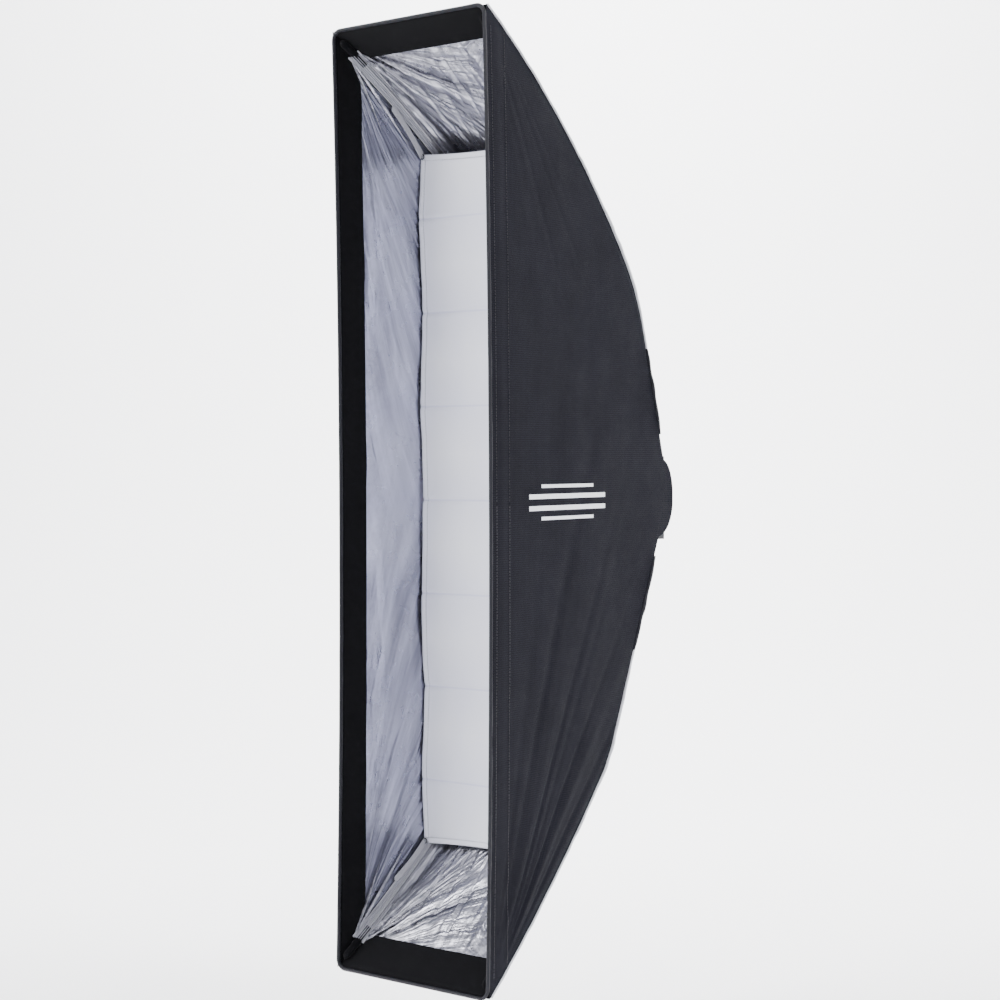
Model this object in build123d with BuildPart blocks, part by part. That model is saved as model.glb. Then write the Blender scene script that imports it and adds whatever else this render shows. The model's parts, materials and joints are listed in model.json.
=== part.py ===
"""Strip softbox with folding rods: a fabric box 300 x 1400 mm on a turning speedring.

Frame: the origin is on the box's axis, in the plane where the adapter meets the lamp.
+Y points to the lamp, -Y out of the light opening, +Z up and X across.
"""

from build123d import *
import os
from math import cos, degrees, radians, sin, sqrt

os.makedirs("parts", exist_ok=True)

# Light opening and shell
FRONT_WIDTH = 300
FRONT_HEIGHT = 1400
DEPTH = 540
REAR_WIDTH = 184
FABRIC = 1.2
GAP = 0.3
FLAP_APEX = 11
CAP_END = 36
CAP_CUT = 74

# Rim
BINDING_RADIUS = 4
RIM_CORNER = 16
LIP_DEPTH = 50
LIP_FABRIC = 1.0

# Rods
ROD_RADIUS = 3.5
ROD_INSET = 10
ROD_FRONT_X = 138
AXIS_X = 75
ROD_FRONT_TRIM = 24
ROD_IN_SOCKET = 10
SOCKET_RADIUS = 5.5
SOCKET_LENGTH = 38
SLEEVE_OUTER = 5.6
SLEEVE_INNER = 4.2
ROD_CAP_RADIUS = 4.6
ROD_CAP_LENGTH = 16
POCKET_OUTER = 6.2
POCKET_INNER = 4.9
POCKET_LENGTH = 36
POCKET_WALL = 1.4
PIPING_RADIUS = 1.6
PIPING_CLEAR = 3.3
PIPING_SHIFT = -2
PIPING_FRONT_TRIM = 40
PIPING_HUB_TRIM = 20

# Baffle
BAFFLE_WIDTH = 252
BAFFLE_HEIGHT = 1050
BAFFLE_Y = -365
BAFFLE_FABRIC = 0.8
STRAP_WIDTH = 12
STRAP_THICKNESS = 1.2
STRAP_CLEAR = 2.2

# Speedring and adapter
BORE_RADIUS = 49
NECK_RADIUS = 58
RIM_RADIUS = 71.9
RIM_FRONT = -13
RIM_BACK = -4
ADAPTER_FRONT = -14
RING_BORE = 71.95
RING_OUTER = 88
RING_WALL_INNER = 74
RING_WEB_INNER = 60
RING_FRONT = -32
RING_BACK = -3.6
WEB_FRONT = -18
RETAINER_RADIUS = 85
RETAINER_BACK = -1.4
LOCK_Y = -8.5
LOCK_RADIUS = 3
LOCK_LENGTH = 22
KNOB_RADIUS = 9.5
KNOB_HEIGHT = 13
KNOB_CLEAR = 2
KNOB_CAP = 6.8
FLUTE_CIRCLE = 10.6
FLUTE_RADIUS = 2
FLUTE_COUNT = 10
LUG_COUNT = 3
LUG_CIRCLE = 54
LUG_WIDTH = 26
LUG_FOOT = 7
LUG_TOE = 11
LUG_STAND = 8
LUG_TOP = 11
RIVET_BACK = -8
RIVET_HEAD_RADIUS = 3.2
RIVET_HEAD = 1.2
RIM_SCREW_COUNT = 6
RIM_SCREW_CIRCLE = 80
SCREW_RADIUS = 2
SCREW_HEAD_RADIUS = 3.6
SCREW_HEAD = 2.2
HEX_RADIUS = 1.4

# Hinge brackets and latches
PLATE_THICKNESS = 4
PLATE_INNER = 57
PLATE_OUTER = 90.7
PLATE_LOW = 24
PLATE_HIGH = 66
BRACKET_SCREWS = ((64, 44), (77, 31))
EAR_THICKNESS = 3.7
EAR_GAP = 12
KNUCKLE_WIDTH = 11.4
KNUCKLE_RADIUS = 7
PIN_RADIUS = 2.5
PIN_FIT = 0.05
LATCH_WIDTH = 7
LATCH_PIN_RADIUS = 1.5
LATCH_BACK = 9
LATCH_BELOW = 12
LATCH_HUB_RADIUS = 3.6
NOSE_BACK = 8.2
NOSE_THICKNESS = 3.4
THUMB_REACH = 18
THUMB_DROP = 6
SPRING_RADIUS = 2.4
SPRING_WIRE = 0.22


class Half:
    """One half of the box: where its rods' pair runs. Angles are from the box's axis, in degrees."""

    def __init__(self, name, sign, front_angle, front_radius, mid_angle, bend_radius, hub_angle, straight):
        self.name = name
        self.sign = sign
        self.front_angle = front_angle
        self.front_radius = front_radius
        self.mid_angle = mid_angle
        self.bend_radius = bend_radius
        self.hub_angle = hub_angle
        self.straight = straight


# The upper pair is bowed more than the lower pair.
UPPER = Half("upper", 1, 31.2, 1470, 50.4, 353, 72.6, 209)
LOWER = Half("lower", -1, 37.9, 2700, 46.6, 226, 65.4, 332)
SIDES = (("left", -1), ("right", 1))


def half_width(y):
    """The shell's outer half width at a depth."""
    return REAR_WIDTH / 2 + (FRONT_WIDTH - REAR_WIDTH) / 2 * (-y) / DEPTH


def inward(half, angle):
    """The seam's normal towards the axis, in depth and height, where the seam runs at this angle."""
    return Vector(-sin(radians(angle)), -half.sign * cos(radians(angle)))


def heading(half, angle):
    """The way the seam runs, from front to hub, where it stands at this angle."""
    return Vector(cos(radians(angle)), -half.sign * sin(radians(angle)))


def seam(half, inset=0, front_trim=0, hub_trim=0):
    """Draws the seam from the front corner to the hub, moved in by inset, cut short at its ends."""
    front_radius = half.front_radius - inset
    bend_radius = half.bend_radius - inset
    corner = Vector(-DEPTH, half.sign * FRONT_HEIGHT / 2) + inward(half, half.front_angle) * inset
    centre = corner + inward(half, half.front_angle) * front_radius
    start_angle = half.front_angle + degrees(front_trim / front_radius)
    start = centre - inward(half, start_angle) * front_radius
    turn = -half.sign
    bow = JernArc(start, heading(half, start_angle), front_radius, turn * (half.mid_angle - start_angle))
    bend = JernArc(bow @ 1, bow % 1, bend_radius, turn * (half.hub_angle - half.mid_angle))
    straight = Line(bend @ 1, bend @ 1 + (bend % 1) * (half.straight - hub_trim))
    return [bow, bend, straight]


def rod_plane(side, shift=0):
    """The upright plane that a side's rods lie in. Its x runs along the rods' splay and its y is up."""
    run = Vector(side * (AXIS_X - ROD_FRONT_X), DEPTH, 0).normalized()
    front = Vector(side * (ROD_FRONT_X + shift), -DEPTH, 0)
    return Plane(origin=front + run * DEPTH, x_dir=run, z_dir=run.cross(Vector(0, 0, 1)))


def seam_plane(side, shift=0):
    """As rod_plane, for the splay of the side panel's own face."""
    run = Vector(side * (REAR_WIDTH - FRONT_WIDTH) / 2, DEPTH, 0).normalized()
    front = Vector(side * (FRONT_WIDTH / 2 + shift), -DEPTH, 0)
    return Plane(origin=front + run * DEPTH, x_dir=run, z_dir=run.cross(Vector(0, 0, 1)))


def rod_line(half, side, front_trim, hub_trim):
    """A rod's centre line, as a wire from its front end to its hub end."""
    with BuildLine() as line:
        seam(half, ROD_INSET, front_trim, hub_trim)
    return line.wire().moved(rod_plane(side).location)


def rod_height(half, y):
    """How far from the axis a rod's front bow stands at a depth."""
    radius = half.front_radius - ROD_INSET
    angle = radians(half.front_angle)
    middle_y = -DEPTH - (radius + ROD_INSET) * sin(angle)
    middle_z = FRONT_HEIGHT / 2 - (radius + ROD_INSET) * cos(angle)
    return middle_z + sqrt(radius**2 - (y - middle_y) ** 2)


def pivot_of(half, side):
    """Where a rod's hinge pin crosses the rod's line."""
    return rod_line(half, side, ROD_FRONT_TRIM, 0) @ 1


def rod_heading(half, side):
    """The direction in which a rod leaves its hinge."""
    return -(rod_line(half, side, ROD_FRONT_TRIM, 0) % 1)


def swept(path, outer, inner=0):
    """A tube or rod along a path."""
    with BuildPart() as piece:
        with BuildSketch(Plane(origin=path @ 0, z_dir=path % 0)):
            Circle(outer)
            if inner:
                Circle(inner, mode=Mode.SUBTRACT)
        sweep(path=path)
    return piece


def write(piece, name):
    """Labels a finished piece and writes its file."""
    solid = piece.part
    solid.label = name
    export_step(solid, f"parts/{name}.step")


def side_outline(inset, front, back):
    """The side view of the shell, inset from its seams, between two depths."""
    with BuildSketch(Plane.YZ) as outline:
        with BuildLine():
            top = seam(UPPER, inset)
            low = seam(LOWER, inset)
            ThreePointArc(top[2] @ 1, (-FLAP_APEX, 0), low[2] @ 1)
            Line(top[0] @ 0, low[0] @ 0)
        make_face()
        with Locations(((front + back) / 2, 0)):
            Rectangle(back - front, 2 * FRONT_HEIGHT, mode=Mode.INTERSECT)
    return outline.sketch


def side_layer(side, depth_in, thickness, inset, front, back):
    """A layer of cloth on a side wall, depth_in under its outer face."""
    with BuildPart() as layer:
        with BuildSketch(Plane.XY):
            with BuildLine():
                Polyline(
                    (side * (half_width(front) - depth_in), front),
                    (side * (half_width(back) - depth_in), back),
                    (side * (half_width(back) - depth_in - thickness), back),
                    (side * (half_width(front) - depth_in - thickness), front),
                    close=True,
                )
            make_face()
        extrude(amount=FRONT_HEIGHT, both=True)
        extrude(side_outline(inset, front, back), amount=FRONT_WIDTH, both=True, mode=Mode.INTERSECT)
    return layer


def cap_layer(half, depth_in, thickness, margin, front, back):
    """A layer of cloth on the top or bottom wall, depth_in under its face, margin inside the sides."""
    with BuildPart() as layer:
        with BuildSketch(Plane.YZ):
            with BuildLine():
                outer = seam(half, depth_in)
                inner = seam(half, depth_in + thickness)
                Line(outer[0] @ 0, inner[0] @ 0)
                Line(outer[2] @ 1, inner[2] @ 1)
            make_face()
        extrude(amount=FRONT_WIDTH, both=True)
        with BuildSketch(Plane.XY):
            with BuildLine():
                Polyline(
                    (half_width(front) - margin, front),
                    (half_width(back) - margin, back),
                    (-half_width(back) + margin, back),
                    (-half_width(front) + margin, front),
                    close=True,
                )
            make_face()
        extrude(amount=FRONT_HEIGHT, both=True, mode=Mode.INTERSECT)
    return layer


def turned(points):
    """A solid turned round the box's axis, from a closed outline of (radius, depth) points."""
    with BuildPart() as piece:
        with BuildSketch(Plane.XY):
            with BuildLine():
                Polyline(*points, close=True)
            make_face()
        revolve(axis=Axis.Y)
    return piece


def ring_places(count, radius, start=0):
    """Places spread round the box's axis, as (x, z)."""
    angles = [radians(start + 360 * n / count) for n in range(count)]
    return [(radius * cos(a), radius * sin(a)) for a in angles]


def along_y(y_front, y_back, radius, places):
    """Round bars along Y."""
    with BuildPart() as bars:
        for x, z in places:
            with BuildSketch(Plane(origin=(x, y_front, z), x_dir=(1, 0, 0), z_dir=(0, 1, 0))):
                Circle(radius)
            extrude(amount=y_back - y_front)
    return bars


def screws_along_y(y_head, y_tip, places):
    """Screws along Y whose heads lie at y_head, each with a hexagon recess."""
    way = 1 if y_tip > y_head else -1
    with BuildPart() as screws:
        for x, z in places:
            face = Plane(origin=(x, y_head, z), x_dir=(1, 0, 0), z_dir=(0, way, 0))
            with BuildSketch(face):
                Circle(SCREW_HEAD_RADIUS)
            extrude(amount=SCREW_HEAD)
            with BuildSketch(face.offset(SCREW_HEAD)):
                Circle(SCREW_RADIUS)
            extrude(amount=abs(y_tip - y_head) - SCREW_HEAD)
            with BuildSketch(face):
                RegularPolygon(HEX_RADIUS, 6)
            extrude(amount=HEX_RADIUS, mode=Mode.SUBTRACT)
    return screws


# ---------------------------------------------------------------- adapter and speedring

rim_screw_places = ring_places(RIM_SCREW_COUNT, RIM_SCREW_CIRCLE)
lug_places = ring_places(LUG_COUNT, LUG_CIRCLE, 90)

with BuildPart() as adapter_plate:
    add(
        turned(
            [
                (BORE_RADIUS, ADAPTER_FRONT),
                (NECK_RADIUS, ADAPTER_FRONT),
                (NECK_RADIUS, RIM_FRONT),
                (RIM_RADIUS, RIM_FRONT),
                (RIM_RADIUS, RIM_BACK),
                (NECK_RADIUS, RIM_BACK),
                (NECK_RADIUS, 0),
                (BORE_RADIUS, 0),
            ]
        ).part
    )
    add(along_y(RIVET_BACK, LUG_TOP, SCREW_RADIUS, lug_places).part, mode=Mode.SUBTRACT)
write(adapter_plate, "adapter_plate")

with BuildPart() as bayonet_lugs:
    for x, z in lug_places:
        foot = Plane(origin=(x, 0, z), x_dir=(x, 0, z), z_dir=(0, 1, 0))
        with BuildSketch(foot):
            Rectangle(LUG_FOOT, LUG_WIDTH)
        extrude(amount=LUG_STAND)
        with BuildSketch(foot.offset(LUG_STAND)):
            with Locations(((LUG_TOE - LUG_FOOT) / 2, 0)):
                Rectangle(LUG_TOE, LUG_WIDTH)
        extrude(amount=LUG_TOP - LUG_STAND)
    add(along_y(0, LUG_TOP, SCREW_RADIUS, lug_places).part, mode=Mode.SUBTRACT)
write(bayonet_lugs, "bayonet_lugs")

with BuildPart() as lug_rivets:
    add(along_y(RIVET_BACK, LUG_TOP, SCREW_RADIUS, lug_places).part)
    add(along_y(LUG_TOP, LUG_TOP + RIVET_HEAD, RIVET_HEAD_RADIUS, lug_places).part)
write(lug_rivets, "lug_rivets")

with BuildPart() as speedring:
    add(
        turned(
            [
                (RING_WEB_INNER, WEB_FRONT),
                (RING_WALL_INNER, WEB_FRONT),
                (RING_WALL_INNER, RING_FRONT),
                (RING_OUTER, RING_FRONT),
                (RING_OUTER, RING_BACK),
                (RING_BORE, RING_BACK),
                (RING_BORE, RIM_FRONT - GAP),
                (RING_WEB_INNER, RIM_FRONT - GAP),
            ]
        ).part
    )
    with BuildSketch(Plane(origin=(0, LOCK_Y, 0), x_dir=(1, 0, 0), z_dir=(0, 0, 1))):
        Circle(LOCK_RADIUS + PIN_FIT)
    extrude(amount=2 * RING_OUTER, mode=Mode.SUBTRACT)
    add(along_y(ADAPTER_FRONT, 0, SCREW_RADIUS, rim_screw_places).part, mode=Mode.SUBTRACT)
    fillet(speedring.edges().filter_by(GeomType.CIRCLE).sort_by(SortBy.RADIUS)[-2:], 1.5)

with BuildPart() as retainer_ring:
    add(
        turned(
            [
                (RING_WEB_INNER, RING_BACK),
                (RETAINER_RADIUS, RING_BACK),
                (RETAINER_RADIUS, RETAINER_BACK),
                (RING_WEB_INNER, RETAINER_BACK),
            ]
        ).part
    )
    add(along_y(RING_BACK, 0, SCREW_HEAD_RADIUS, rim_screw_places).part, mode=Mode.SUBTRACT)
write(retainer_ring, "retainer_ring")

retainer_screws = screws_along_y(RETAINER_BACK, ADAPTER_FRONT, rim_screw_places)
write(retainer_screws, "retainer_screws")

with BuildPart() as lock_stud:
    with BuildSketch(Plane.XY.offset(RIM_RADIUS + GAP)):
        with Locations((0, LOCK_Y)):
            Circle(LOCK_RADIUS)
    extrude(amount=LOCK_LENGTH)
write(lock_stud, "lock_stud")

with BuildPart() as lock_knob:
    with BuildSketch(Plane.XY.offset(RING_OUTER + KNOB_CLEAR)):
        with Locations((0, LOCK_Y)):
            Circle(KNOB_RADIUS)
            with PolarLocations(FLUTE_CIRCLE, FLUTE_COUNT):
                Circle(FLUTE_RADIUS, mode=Mode.SUBTRACT)
            Circle(LOCK_RADIUS, mode=Mode.SUBTRACT)
    extrude(amount=KNOB_HEIGHT)
    fillet(lock_knob.faces().sort_by(Axis.Z)[-1].outer_wire().edges(), 0.8)
    with BuildSketch(lock_knob.faces().sort_by(Axis.Z)[-1]):
        Circle(LOCK_RADIUS)
    extrude(amount=-KNOB_CAP)
write(lock_knob, "lock_knob")

# ---------------------------------------------------------------- hinges, latches and rods

all_pins = []
all_latch_pins = []
all_latch_springs = []
bracket_screw_places = []

for half in (UPPER, LOWER):
    for side_name, side in SIDES:
        name = f"{half.name}_{side_name}"
        s = half.sign
        pivot = pivot_of(half, side)
        lead = rod_heading(half, side)
        latch_pin = Vector(pivot.X, pivot.Y + LATCH_BACK, pivot.Z - s * LATCH_BELOW)
        places = [(side * x, s * z) for x, z in BRACKET_SCREWS]
        bracket_screw_places += places

        # A plate on the ring's front face, with two ears that carry the hinge pin.
        with BuildPart() as bracket:
            with BuildSketch(Plane(origin=(0, RING_FRONT, 0), x_dir=(1, 0, 0), z_dir=(0, -1, 0))):
                with BuildLine():
                    Polyline(
                        (side * PLATE_INNER, s * (PLATE_LOW + 14)),
                        (side * (PLATE_INNER + 15), s * PLATE_LOW),
                        (side * PLATE_OUTER, s * PLATE_LOW),
                        (side * PLATE_OUTER, s * PLATE_HIGH),
                        (side * (PLATE_INNER + 13), s * PLATE_HIGH),
                        (side * PLATE_INNER, s * (PLATE_HIGH - 14)),
                        close=True,
                    )
                make_face()
            extrude(amount=PLATE_THICKNESS)
            add(along_y(RING_FRONT - PLATE_THICKNESS, RING_FRONT, SCREW_RADIUS, places).part, mode=Mode.SUBTRACT)
            for inner in (pivot.X - EAR_GAP / 2 - EAR_THICKNESS, pivot.X + EAR_GAP / 2):
                with BuildSketch(Plane(origin=(inner, 0, 0), x_dir=(0, 1, 0), z_dir=(1, 0, 0))):
                    with BuildLine():
                        Polyline(
                            (RING_FRONT - PLATE_THICKNESS, s * 40),
                            (pivot.Y - 4, pivot.Z - s * 17),
                            (pivot.Y - 8, pivot.Z - s * 8),
                            (pivot.Y - 8, pivot.Z + s * 4),
                            (pivot.Y - 4, pivot.Z + s * 8),
                            (RING_FRONT - PLATE_THICKNESS, s * PLATE_HIGH),
                            close=True,
                        )
                    make_face()
                extrude(amount=EAR_THICKNESS)
            for centre, radius in ((pivot, PIN_RADIUS), (latch_pin, LATCH_PIN_RADIUS)):
                with BuildSketch(Plane(origin=(centre.X, centre.Y, centre.Z), x_dir=(0, 1, 0), z_dir=(1, 0, 0))):
                    Circle(radius)
                extrude(amount=EAR_GAP, both=True, mode=Mode.SUBTRACT)
        write(bracket, f"rod_bracket_{name}")

        all_pins.append(pivot)
        all_latch_pins.append(latch_pin)

        # A knuckle on the pin with a socket that holds the rod's end.
        socket_plane = Plane(origin=pivot, z_dir=lead)
        with BuildPart() as rod_socket:
            with BuildSketch(Plane(origin=pivot, x_dir=(0, 1, 0), z_dir=(1, 0, 0))):
                Circle(KNUCKLE_RADIUS)
            extrude(amount=KNUCKLE_WIDTH / 2, both=True)
            with BuildSketch(socket_plane):
                Circle(SOCKET_RADIUS - 0.3)
            extrude(amount=SOCKET_LENGTH)
            with BuildSketch(Plane(origin=pivot, x_dir=(0, 1, 0), z_dir=(1, 0, 0))):
                Circle(PIN_RADIUS + PIN_FIT)
            extrude(amount=KNUCKLE_WIDTH, both=True, mode=Mode.SUBTRACT)
            with BuildSketch(socket_plane.offset(ROD_IN_SOCKET)):
                Circle(ROD_RADIUS)
            extrude(amount=SOCKET_LENGTH, mode=Mode.SUBTRACT)
        write(rod_socket, f"rod_socket_{name}")

        # A thumb lever between the ears whose nose stands behind the knuckle.
        with BuildPart() as latch:
            with BuildSketch(Plane(origin=(pivot.X - LATCH_WIDTH / 2, 0, 0), x_dir=(0, 1, 0), z_dir=(1, 0, 0))):
                with Locations((latch_pin.Y, latch_pin.Z)):
                    Circle(LATCH_HUB_RADIUS)
                with BuildLine():
                    Polyline(
                        (pivot.Y + NOSE_BACK, latch_pin.Z),
                        (pivot.Y + NOSE_BACK, pivot.Z - s * 3),
                        (pivot.Y + NOSE_BACK + 1.2, pivot.Z - s * 2),
                        (pivot.Y + NOSE_BACK + NOSE_THICKNESS, pivot.Z - s * 4),
                        (pivot.Y + NOSE_BACK + NOSE_THICKNESS, latch_pin.Z),
                        close=True,
                    )
                make_face()
                with BuildLine():
                    Polyline(
                        (latch_pin.Y, latch_pin.Z - s * 0.4),
                        (latch_pin.Y, latch_pin.Z - s * 3.5),
                        (pivot.Y - THUMB_REACH + 2, latch_pin.Z - s * THUMB_DROP),
                        (pivot.Y - THUMB_REACH, latch_pin.Z - s * LATCH_HUB_RADIUS),
                        close=True,
                    )
                make_face()
                with Locations((latch_pin.Y, latch_pin.Z)):
                    Circle(LATCH_PIN_RADIUS + PIN_FIT, mode=Mode.SUBTRACT)
            extrude(amount=LATCH_WIDTH)
        write(latch, f"latch_lever_{name}")

        # A coil on the latch pin, beside the lever.
        coil_start = Vector(pivot.X + LATCH_WIDTH / 2 + 0.4, latch_pin.Y, latch_pin.Z)
        with BuildPart() as latch_spring:
            with BuildLine() as coil:
                Helix(pitch=0.6, height=1.3, radius=SPRING_RADIUS, center=coil_start, direction=(1, 0, 0))
            with BuildSketch(Plane(origin=coil.line @ 0, z_dir=coil.line % 0)):
                Circle(SPRING_WIRE)
            sweep(path=coil.line, is_frenet=True)
        all_latch_springs.append(latch_spring.part)

        rod = swept(rod_line(half, side, ROD_FRONT_TRIM, ROD_IN_SOCKET), ROD_RADIUS)
        tip = rod_line(half, side, ROD_FRONT_TRIM, 0) @ 0
        tip_way = -(rod_line(half, side, ROD_FRONT_TRIM, 0) % 0)
        tip_plane = Plane(origin=tip, z_dir=tip_way)
        write(rod, f"rod_{name}")

        # A moulded cap over the rod's front end.
        with BuildPart() as rod_cap:
            with BuildSketch(tip_plane.offset(-ROD_CAP_LENGTH + 3)):
                Circle(ROD_CAP_RADIUS)
            extrude(amount=ROD_CAP_LENGTH)
            fillet(rod_cap.faces().sort_by(Axis(tip, tip_way))[-1].edges(), 2.4)
            add(rod.part, mode=Mode.SUBTRACT)
        write(rod_cap, f"rod_cap_{name}")

        # The cloth pocket that the cap pushes into.
        with BuildPart() as pocket:
            with BuildSketch(tip_plane.offset(-POCKET_LENGTH + 5)):
                Circle(POCKET_OUTER)
                Circle(POCKET_INNER, mode=Mode.SUBTRACT)
            extrude(amount=POCKET_LENGTH - POCKET_WALL)
            with BuildSketch(tip_plane.offset(5 - POCKET_WALL)):
                Circle(POCKET_OUTER)
            extrude(amount=POCKET_WALL)
        write(pocket, f"corner_pocket_{name}")

        # The cloth sleeve that ties the rod to its seam.
        sleeve_line = rod_line(half, side, ROD_FRONT_TRIM + POCKET_LENGTH, SOCKET_LENGTH + 12)
        write(swept(sleeve_line, SLEEVE_OUTER, SLEEVE_INNER), f"rod_sleeve_{name}")

        # The piping sewn into the seam, outside the shell.
        with BuildLine() as piping_line:
            seam(half, -PIPING_RADIUS - PIPING_CLEAR, PIPING_FRONT_TRIM, PIPING_HUB_TRIM)
        piping_path = piping_line.wire().moved(seam_plane(side, PIPING_SHIFT).location)
        write(swept(piping_path, PIPING_RADIUS), f"piping_{name}")

        # The elastic that ties the baffle's corner to the rod, with a ring at its end.
        strap_x = side * (BAFFLE_WIDTH / 2 - 8)
        strap_low = BAFFLE_HEIGHT / 2 - 9
        strap_high = rod_height(half, BAFFLE_Y) - SLEEVE_OUTER - 1
        with BuildPart() as strap:
            with BuildSketch(Plane(origin=(0, BAFFLE_Y - STRAP_CLEAR, 0), x_dir=(1, 0, 0), z_dir=(0, -1, 0))):
                with Locations((strap_x, s * (strap_low + strap_high) / 2)):
                    Rectangle(STRAP_WIDTH, strap_high - strap_low)
            extrude(amount=STRAP_THICKNESS)
        write(strap, f"baffle_elastic_{name}")

with speedring:
    add(along_y(RING_FRONT, WEB_FRONT - 2, SCREW_RADIUS, bracket_screw_places).part, mode=Mode.SUBTRACT)
write(speedring, "speedring")

bracket_screws = screws_along_y(RING_FRONT - PLATE_THICKNESS - SCREW_HEAD, WEB_FRONT - 2, bracket_screw_places)
write(bracket_screws, "bracket_screws")

with BuildPart() as hinge_pins:
    for centre in all_pins:
        with BuildSketch(Plane(origin=centre, x_dir=(0, 1, 0), z_dir=(1, 0, 0))):
            Circle(PIN_RADIUS)
        extrude(amount=EAR_GAP / 2 + EAR_THICKNESS, both=True)
        for out in (-1, 1):
            edge = centre.X + out * (EAR_GAP / 2 + EAR_THICKNESS)
            with BuildSketch(Plane(origin=(edge, centre.Y, centre.Z), x_dir=(0, 1, 0), z_dir=(out, 0, 0))):
                Circle(PIN_RADIUS + 1.2)
            extrude(amount=1)
write(hinge_pins, "hinge_pins")

with BuildPart() as latch_pins:
    for centre in all_latch_pins:
        with BuildSketch(Plane(origin=centre, x_dir=(0, 1, 0), z_dir=(1, 0, 0))):
            Circle(LATCH_PIN_RADIUS)
        extrude(amount=EAR_GAP / 2 + EAR_THICKNESS, both=True)
write(latch_pins, "latch_pins")

with BuildPart() as latch_springs:
    for spring in all_latch_springs:
        add(spring)
write(latch_springs, "latch_springs")

# ---------------------------------------------------------------- cloth

panel_front = -DEPTH + 2 * BINDING_RADIUS + GAP
lip_back = panel_front + LIP_DEPTH
lip_in = FABRIC + GAP
for side_name, side in SIDES:
    write(side_layer(side, 0, FABRIC, 0, panel_front, 0), f"side_panel_{side_name}")
    lip = side_layer(side, lip_in, LIP_FABRIC, lip_in, panel_front, lip_back)
    write(lip, f"loop_band_{side_name}")

for half, name in ((UPPER, "top"), (LOWER, "bottom")):
    with BuildPart() as panel:
        add(cap_layer(half, 0, FABRIC, FABRIC + GAP, panel_front, -CAP_END).part)
        with BuildSketch(Plane.XZ):
            Rectangle(2 * FRONT_WIDTH, 2 * CAP_CUT)
        extrude(amount=DEPTH, both=True, mode=Mode.SUBTRACT)
    write(panel, f"{name}_panel")
    lip_margin = lip_in + LIP_FABRIC + GAP
    write(cap_layer(half, lip_in, LIP_FABRIC, lip_margin, panel_front, lip_back), f"loop_band_{name}")

with BuildSketch(Plane.XZ.offset(DEPTH - BINDING_RADIUS)) as rim:
    RectangleRounded(FRONT_WIDTH - 2 * BINDING_RADIUS, FRONT_HEIGHT - 2 * BINDING_RADIUS, RIM_CORNER)
front_binding = swept(rim.sketch.faces()[0].outer_wire(), BINDING_RADIUS)
write(front_binding, "front_binding")

with BuildPart() as inner_baffle:
    with BuildSketch(Plane(origin=(0, BAFFLE_Y, 0), x_dir=(1, 0, 0), z_dir=(0, -1, 0))):
        RectangleRounded(BAFFLE_WIDTH, BAFFLE_HEIGHT, 6)
    extrude(amount=BAFFLE_FABRIC)
write(inner_baffle, "inner_baffle")
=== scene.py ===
"""Strip softbox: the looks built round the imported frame. Metres, in the part's own frame."""
import json
import math

import bmesh
import bpy
import numpy as np
from mathutils import Matrix, Vector


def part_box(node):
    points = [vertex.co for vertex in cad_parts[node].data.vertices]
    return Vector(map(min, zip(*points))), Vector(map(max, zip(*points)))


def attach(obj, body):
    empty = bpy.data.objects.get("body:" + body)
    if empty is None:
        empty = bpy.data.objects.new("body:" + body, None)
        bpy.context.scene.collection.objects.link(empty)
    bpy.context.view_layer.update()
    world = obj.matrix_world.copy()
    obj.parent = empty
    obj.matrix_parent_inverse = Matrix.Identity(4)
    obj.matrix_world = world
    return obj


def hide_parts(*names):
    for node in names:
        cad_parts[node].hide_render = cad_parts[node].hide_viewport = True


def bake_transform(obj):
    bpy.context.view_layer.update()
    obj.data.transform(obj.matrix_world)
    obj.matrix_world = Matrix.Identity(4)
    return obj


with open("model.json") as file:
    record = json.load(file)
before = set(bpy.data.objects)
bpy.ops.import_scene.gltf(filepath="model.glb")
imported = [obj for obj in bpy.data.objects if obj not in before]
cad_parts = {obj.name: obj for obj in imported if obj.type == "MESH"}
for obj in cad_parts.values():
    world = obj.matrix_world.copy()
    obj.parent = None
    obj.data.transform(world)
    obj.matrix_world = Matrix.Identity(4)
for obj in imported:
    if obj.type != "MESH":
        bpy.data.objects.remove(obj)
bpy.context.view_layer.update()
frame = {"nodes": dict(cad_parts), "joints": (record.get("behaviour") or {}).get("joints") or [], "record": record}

# ---- driving sizes

DEPTH = 0.540  # from the rim back to the lamp face, at Y = 0
HALF_FRONT = 0.150  # half width at the rim
HALF_REAR = 0.092  # half width at the lamp face
HALF_HEIGHT = 0.700  # half height at the rim
FLAP_APEX = -0.011  # how far back the sides' round flaps reach
BINDING_RADIUS = 0.003
PANEL_FRONT = -DEPTH + 0.004  # the cloth starts inside the rolled hem
LIP_BACK = -DEPTH + 0.052  # back edge of the black band
LINING_FRONT = LIP_BACK - 0.012  # the lining starts under the band
LINING_IN = 0.0015  # the side lining lies this far inside the shell
FRONT_BOW = 0.011  # how far the rim is pulled back at mid height
BAFFLE_Y = -0.3655
BAFFLE_HALF_WIDTH = 0.1285
BAFFLE_HALF_HEIGHT = 0.532
FOLD_STEP = 0.144  # between the baffle's storage folds
ROD_IN = 0.010  # a rod's axis, in from the seam
END_PANEL_STOP = 0.076  # height where the top and bottom cloth end, over the ring
CORD_END = 0.235  # height where the seam's light cord gives way to a black rolled hem


class Half:
    """One half of the shell: the seam's two bows and its straight, front to hub, as in the CAD."""

    def __init__(self, name, sign, angles, radii, straight):
        self.name, self.sign = name, sign
        self.angles = [math.radians(a) for a in angles]
        self.radii = radii
        self.straight = straight
        joint = next(j for j in frame["joints"] if j["child"] == f"arm_{name}_left")
        self.pivot = (joint["pos_m"][1], abs(joint["pos_m"][2]))


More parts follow.
